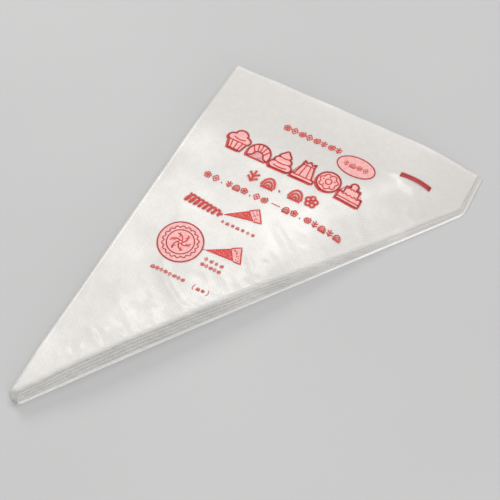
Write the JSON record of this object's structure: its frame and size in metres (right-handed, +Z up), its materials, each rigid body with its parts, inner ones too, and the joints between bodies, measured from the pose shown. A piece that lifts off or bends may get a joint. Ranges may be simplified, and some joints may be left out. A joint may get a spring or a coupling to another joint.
{
  "type": "piping bag pack",
  "caption": "Flat sleeve of clear film holding a stack of disposable piping bags that draw out one by one through the open mouth.",
  "frame": {"origin": "middle of the pack's underside, where it lies on the table", "axes": "+Y from the pointed tip to the open mouth, along the folded long edge; +X from the folded edge to the welded slanting edge; +Z up through the stack"},
  "size_m": [0.208, 0.32, 0.0162],
  "materials": {
    "sleeve_film": "satin",
    "bag_film": "satin",
    "weld_film": "gloss",
    "red_ink": "satin"
  },
  "bodies": {
    "sleeve": {"sleeve_front_panel": "sleeve_film", "sleeve_back_panel": "sleeve_film", "sleeve_fold_edge": "sleeve_film", "sleeve_tip_end": "sleeve_film", "sleeve_seam_side": "sleeve_film", "sleeve_mouth_corner": "sleeve_film", "sleeve_weld_seam": "weld_film"},
    "bag_001": {"bag_001": "bag_film"},
    "bag_002": {"bag_002": "bag_film"},
    "bag_003": {"bag_003": "bag_film"},
    "bag_004": {"bag_004": "bag_film"},
    "bag_005": {"bag_005": "bag_film"},
    "bag_006": {"bag_006": "bag_film"},
    "bag_stack": {"bag_pair_007_008": "bag_film", "bag_pair_009_010": "bag_film", "bag_pair_011_012": "bag_film", "bag_pair_013_014": "bag_film", "bag_pair_015_016": "bag_film", "bag_pair_017_018": "bag_film", "bag_pair_019_020": "bag_film", "bag_pair_021_022": "bag_film", "bag_pair_023_024": "bag_film", "bag_pair_025_026": "bag_film", "bag_pair_027_028": "bag_film", "bag_pair_029_030": "bag_film", "bag_pair_031_032": "bag_film", "bag_pair_033_034": "bag_film", "bag_pair_035_036": "bag_film", "bag_pair_037_038": "bag_film", "bag_pair_039_040": "bag_film", "bag_pair_041_042": "bag_film", "bag_pair_043_044": "bag_film", "bag_pair_045_046": "bag_film", "bag_pair_047_048": "bag_film", "bag_pair_049_050": "bag_film", "bag_pair_051_052": "bag_film", "bag_pair_053_054": "bag_film", "bag_pair_055_056": "bag_film", "bag_pair_057_058": "bag_film", "bag_pair_059_060": "bag_film", "bag_pair_061_062": "bag_film", "bag_pair_063_064": "bag_film", "bag_pair_065_066": "bag_film", "bag_pair_067_068": "bag_film", "bag_pair_069_070": "bag_film", "bag_pair_071_072": "bag_film", "bag_pair_073_074": "bag_film", "bag_pair_075_076": "bag_film", "bag_pair_077_078": "bag_film", "bag_pair_079_080": "bag_film", "bag_pair_081_082": "bag_film", "bag_pair_083_084": "bag_film", "bag_pair_085_086": "bag_film", "bag_pair_087_088": "bag_film", "bag_pair_089_090": "bag_film", "bag_pair_091_092": "bag_film", "bag_pair_093_094": "bag_film", "bag_pair_095_096": "bag_film", "bag_pair_097_098": "bag_film", "bag_pair_099_100": "bag_film"}
  },
  "joints": [
    {"name": "bag_001_slide", "type": "slide", "parent": "sleeve", "child": "bag_001", "axis": [0, 1, 0], "range_m": [0, 0.33]},
    {"name": "bag_002_slide", "type": "slide", "parent": "sleeve", "child": "bag_002", "axis": [0, 1, 0], "range_m": [0, 0.33]},
    {"name": "bag_003_slide", "type": "slide", "parent": "sleeve", "child": "bag_003", "axis": [0, 1, 0], "range_m": [0, 0.33]},
    {"name": "bag_004_slide", "type": "slide", "parent": "sleeve", "child": "bag_004", "axis": [0, 1, 0], "range_m": [0, 0.33]},
    {"name": "bag_005_slide", "type": "slide", "parent": "sleeve", "child": "bag_005", "axis": [0, 1, 0], "range_m": [0, 0.33]},
    {"name": "bag_006_slide", "type": "slide", "parent": "sleeve", "child": "bag_006", "axis": [0, 1, 0], "range_m": [0, 0.33]},
    {"name": "bag_stack_slide", "type": "slide", "parent": "sleeve", "child": "bag_stack", "axis": [0, 1, 0], "range_m": [0, 0.33]}
  ]
}
